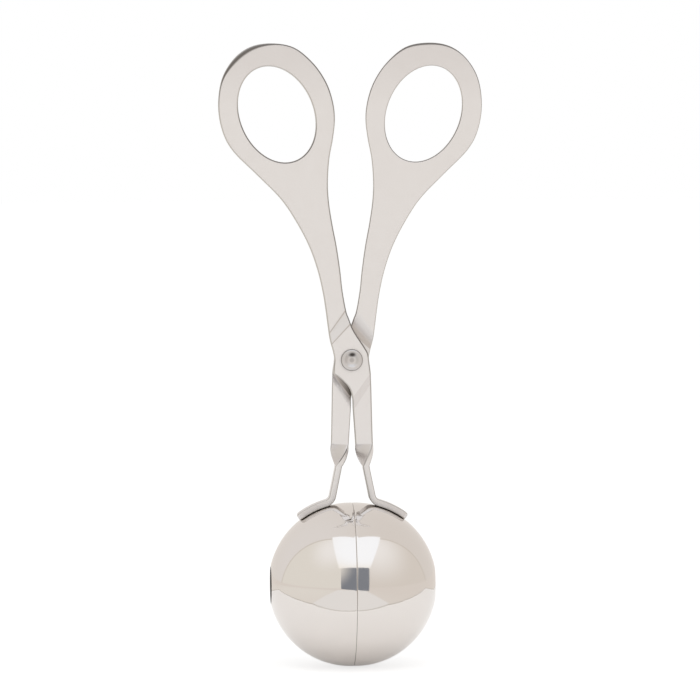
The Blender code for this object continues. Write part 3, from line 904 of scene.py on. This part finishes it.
def faded_card(tree, centre, near, far, strength=1.0):
    """A card whose colour fades away from a point, between two (distance, colour) pairs."""
    _, distance = seen_from(tree, centre)
    ends = {"From Min": near[0], "From Max": far[0]}
    reach = add_node(tree, "MapRange", SMOOTHLY, ends, {"Value": distance})
    colour = add_node(tree, "Mix", IN_COLOUR, {6: near[1], 7: far[1]}, {0: reach})
    return add_node(tree, "Emission", None, {"Strength": strength}, {"Color": colour.outputs[2]})


def seen_directly(tree):
    """1 for what the camera, metal or glass shows, and 0 for light that falls on things."""
    rays = add_node(tree, "LightPath").outputs
    larger = {"operation": "MAXIMUM"}
    links = {0: rays["Is Camera Ray"], 1: rays["Is Glossy Ray"]}
    camera_or_metal = add_node(tree, "Math", larger, links=links)
    links = {0: camera_or_metal, 1: rays["Is Transmission Ray"]}
    return add_node(tree, "Math", larger, links=links)


def white_paper(tree, stage):
    """Plain matt paper on the table: white, with the object's soft shadow."""
    matt = add_node(tree, "BsdfDiffuse", inputs={"Color": stage.paper})
    white = add_node(tree, "Emission", inputs={"Strength": PAPER_GLOW})
    times = {"operation": "MULTIPLY"}
    in_metal = add_node(tree, "Math", times, {1: PAPER_SHINES_TO_METAL}, {0: seen_directly(tree)})
    times = {"operation": "MULTIPLY_ADD"}
    links = {0: add_node(tree, "LightPath").outputs["Is Camera Ray"], 2: in_metal}
    share = add_node(tree, "Math", times, {1: PAPER_SHINES_TO_CAMERA}, links)
    return add_node(tree, "MixShader", links={0: share, 1: matt, 2: white})


# Operators


class BuildArms(Operator):
    """Build both stamped arms."""

    bl_idname = "tongs.build_arms"
    bl_label = "Build the arms"

    def execute(self, context):
        arm, ball = context.scene.tongs_arms, context.scene.tongs_ball
        pair = (
            ("front_stamped_arm", "front_arm", "front_side"),
            ("rear_stamped_arm", "rear_arm", "rear_side"),
        )
        material = new_material("tumbled_stainless_sheet", tumbled_stainless, arm)
        finished_pair(pair, lambda: arm_form(arm, ball), PIVOT, material)
        return {"FINISHED"}


class BuildCups(Operator):
    """Build both halves of the ball."""

    bl_idname = "tongs.build_cups"
    bl_label = "Build the ball's halves"

    def execute(self, context):
        ball = context.scene.tongs_ball
        pair = (
            ("right_half_ball", "right_cup", "front_side"),
            ("left_half_ball", "left_cup", "rear_side"),
        )
        material = new_material("mirror_polished_stainless", mirror_stainless, ball)
        finished_pair(pair, lambda: cup_form(ball), BALL_CENTRE, material)
        return {"FINISHED"}


class BuildRivet(Operator):
    """Build the rivet that the arms swing on."""

    bl_idname = "tongs.build_rivet"
    bl_label = "Build the rivet"

    def execute(self, context):
        rivet = context.scene.tongs_rivet
        form = rivet_form(rivet, context.scene.tongs_arms)
        move = Matrix.Translation(PIVOT)
        material = new_material("turned_stainless_rivet", turned_stainless, rivet)
        names = ("tubular_rivet", "pivot_rivet", "front_side")
        finished_piece(names, form, move, material)
        return {"FINISHED"}


def camera_turn(stage):
    """Which way the camera faces, as a rotation, and the way back to it."""
    level = math.cos(stage.elevation)
    out, side = -math.cos(stage.azimuth) * level, math.sin(stage.azimuth) * level
    back = Vector((side, out, math.sin(stage.elevation)))
    facing = (-back).to_track_quat("-Z", "Y").to_matrix()
    return facing @ Matrix.Rotation(-stage.roll, 3, "Z"), back


def add_camera(stage):
    turn, back = camera_turn(stage)
    data = bpy.data.cameras.new("camera")
    data.sensor_width = 36
    data.lens = data.sensor_width * stage.distance / stage.view_width
    data.shift_x, data.shift_y = CAMERA_SHIFT
    camera = bpy.data.objects.new("camera", data)
    camera.matrix_world = Matrix.Translation(PIVOT + back * stage.distance) @ turn.to_4x4()
    bpy.context.scene.collection.objects.link(camera)
    bpy.context.scene.camera = camera


def stage_piece(name, form, look, in_metal_only=True):
    """Something round the object, which metal reflects and, mostly, nothing else sees.

    Its look is what draws its material, and the settings of that.
    """
    mesh = bpy.data.meshes.new(name)
    form.to_mesh(mesh)
    form.free()
    mesh.materials.append(new_material(name, *look))
    piece = bpy.data.objects.new(name, mesh)
    bpy.context.scene.collection.objects.link(piece)
    if in_metal_only:
        for ray in ("camera", "diffuse", "shadow", "transmission"):
            setattr(piece, "visible_" + ray, False)


def flat_card(corners):
    form = bmesh.new()
    verts = [form.verts.new(corner) for corner in corners]
    for pair in zip(verts, verts[1:] + verts[:1]):
        form.edges.new(pair)
    bmesh.ops.triangle_fill(form, use_beauty=True, edges=form.edges[:])
    return form


def part_of_dome(radius, normals, beyond=0.0):
    """A dome round the ball, less what lies further than this behind each plane through it."""
    form = bmesh.new()
    place = Matrix.Translation(BALL_CENTRE)
    bmesh.ops.create_uvsphere(form, u_segments=96, v_segments=48, radius=radius, matrix=place)
    for normal in normals:
        cut(form, BALL_CENTRE - normal * beyond, normal, clear_inner=True)
    cut(form, (0, 0, 0.00005), (0, 0, 1), clear_inner=True)
    return form


def add_lamp(stage, corners, down):
    """The softbox's lamp, which lights the paper. Metal sees the softbox's front instead."""
    width, height = corners[3] - corners[0], corners[1] - corners[0]
    right = width.normalized()
    data = bpy.data.lights.new("softbox", "AREA")
    data.shape = "RECTANGLE"
    data.size, data.size_y = width.length, height.length
    data.energy = stage.softbox_power
    lamp = bpy.data.objects.new("softbox", data)
    axes = Matrix((right, right.cross(down), -down)).transposed()
    centre = sum(corners[:4], Vector()) / 4
    lamp.matrix_world = Matrix.Translation(centre) @ axes.to_4x4()
    lamp.visible_camera = False
    lamp.visible_glossy = False
    bpy.context.scene.collection.objects.link(lamp)


def add_world():
    """White all round, and a little less bright in what it lights."""
    world = bpy.data.worlds.new("white_surround")
    bpy.context.scene.world = world
    world.use_nodes = True
    tree = world.node_tree
    tree.nodes.clear()
    ends = {"To Min": 0.85, "To Max": 1.0}
    strength = add_node(tree, "MapRange", inputs=ends, links={"Value": seen_directly(tree)})
    white = (1.0, 1.0, 1.0)
    light = add_node(tree, "Background", inputs={"Color": white}, links={"Strength": strength})
    add_node(tree, "OutputWorld", links={"Surface": light})


class BuildStage(Operator):
    """Set up the paper, the room, the lamp and the camera."""

    bl_idname = "tongs.build_stage"
    bl_label = "Build the stage"

    def execute(self, context):
        stage = context.scene.tongs_stage
        context.scene.view_settings.view_transform = "Standard"
        add_camera(stage)
        # From to the right, away from the camera and up, to the scene's own directions
        studio = camera_turn(stage)[0] @ Matrix(((1, 0, 0), (0, 0, 1), (0, -1, 0)))

        def placed(point):
            return BALL_CENTRE + studio @ Vector(point)

        form = bmesh.new()
        place = Matrix.Translation((0, 0, -0.0002))
        bmesh.ops.create_circle(form, cap_ends=True, segments=96, radius=6, matrix=place)
        stage_piece("paper_floor", form, (white_paper, stage), in_metal_only=False)

        look = (faded_card, placed(GREY_CARD_GLARE), (0.005, stage.room), (0.024, stage.card))
        stage_piece("grey_card", flat_card([placed(corner) for corner in GREY_CARD]), look)

        look = (faded_card, placed(TENT_GLOW), (1.5, stage.tent_glow), (5.5, stage.tent))
        stage_piece("tent", part_of_dome(3.7, []), look)
        near = (0.2, Vector(stage.glow) * WALL_GLOW)
        for (name, half, side, brightest, reach), colour in zip(
            WALLS, (stage.left_wall, stage.right_wall)
        ):
            normals = [studio @ Vector(side).normalized(), studio @ Vector((half, 0, 0))]
            look = (faded_card, placed(brightest), near, (reach, colour))
            stage_piece(name + "_wall", part_of_dome(3.5, normals), look)
            look = (shining_card, stage.wall_edge)
            stage_piece(name + "_wall_edge", part_of_dome(3.6, normals, 0.08), look)

        # Painted light: the table is drawn lighter near a point in front and to the left, fading
        # away from it
        level = Matrix.Rotation(stage.azimuth, 3, "Z")
        centre = level @ Vector((-0.35, -0.15, 0))
        table = (faded_card, centre, (0.15, stage.left_table), (0.55, stage.right_table))
        # Painted shadow: a dark line card along the paper's edge, seen only in the metal
        line = (shining_card, stage.paper_edge_shadow)
        for name, z, share, look in (
            ("table", 0.0001, 1.0, table),
            ("paper_edge_shadow", 0.00005, 0.96, line),
        ):
            outline = [(x * share, y * share) for x, y in PAPER_EDGE] + TABLE_CORNERS
            stage_piece(name, flat_card([level @ Vector((x, y, z)) for x, y in outline]), look)
        strip = flat_card([level @ Vector((x, y, 0.0002)) for x, y in PAPER_STRIP])
        stage_piece("paper_strip", strip, (shining_card, stage.paper))

        corners = [placed(corner) for corner in SOFTBOX]
        near, far = (0.5, SOFTBOX_WHITE), (2.3, stage.room)
        look = (faded_card, placed(SOFTBOX_MIDDLE), near, far, SOFTBOX_GLOW)
        stage_piece("softbox_front", flat_card(corners), look)
        add_lamp(stage, corners, studio @ Vector((0, 0, -1)))
        add_world()
        return {"FINISHED"}


class TongsPanel(Panel):
    """The tongs' sizes, finishes and build steps."""

    bl_idname = "TONGS_PT_build"
    bl_label = "Meatball tongs"
    bl_space_type = "VIEW_3D"
    bl_region_type = "UI"
    bl_category = "Tongs"

    def draw(self, context):
        for step, name in zip(BUILD_STEPS, SETTINGS):
            box = self.layout.box()
            box.operator(step.bl_idname)
            settings = getattr(context.scene, name)
            for key in settings.__annotations__:
                box.prop(settings, key)


BUILD_STEPS = (BuildArms, BuildCups, BuildRivet, BuildStage)
SETTINGS = {
    "tongs_arms": TongsArms,
    "tongs_ball": TongsBall,
    "tongs_rivet": TongsRivet,
    "tongs_stage": TongsStage,
}
CLASSES = (*SETTINGS.values(), *BUILD_STEPS, TongsPanel)


def register():
    for kind in CLASSES:
        bpy.utils.register_class(kind)
    for name, group in SETTINGS.items():
        setattr(bpy.types.Scene, name, PointerProperty(type=group))


def unregister():
    for name in SETTINGS:
        delattr(bpy.types.Scene, name)
    for kind in reversed(CLASSES):
        bpy.utils.unregister_class(kind)


def main():
    register()
    bpy.ops.tongs.build_arms()
    bpy.ops.tongs.build_cups()
    bpy.ops.tongs.build_rivet()
    bpy.ops.tongs.build_stage()


if __name__ == "__main__":
    main()
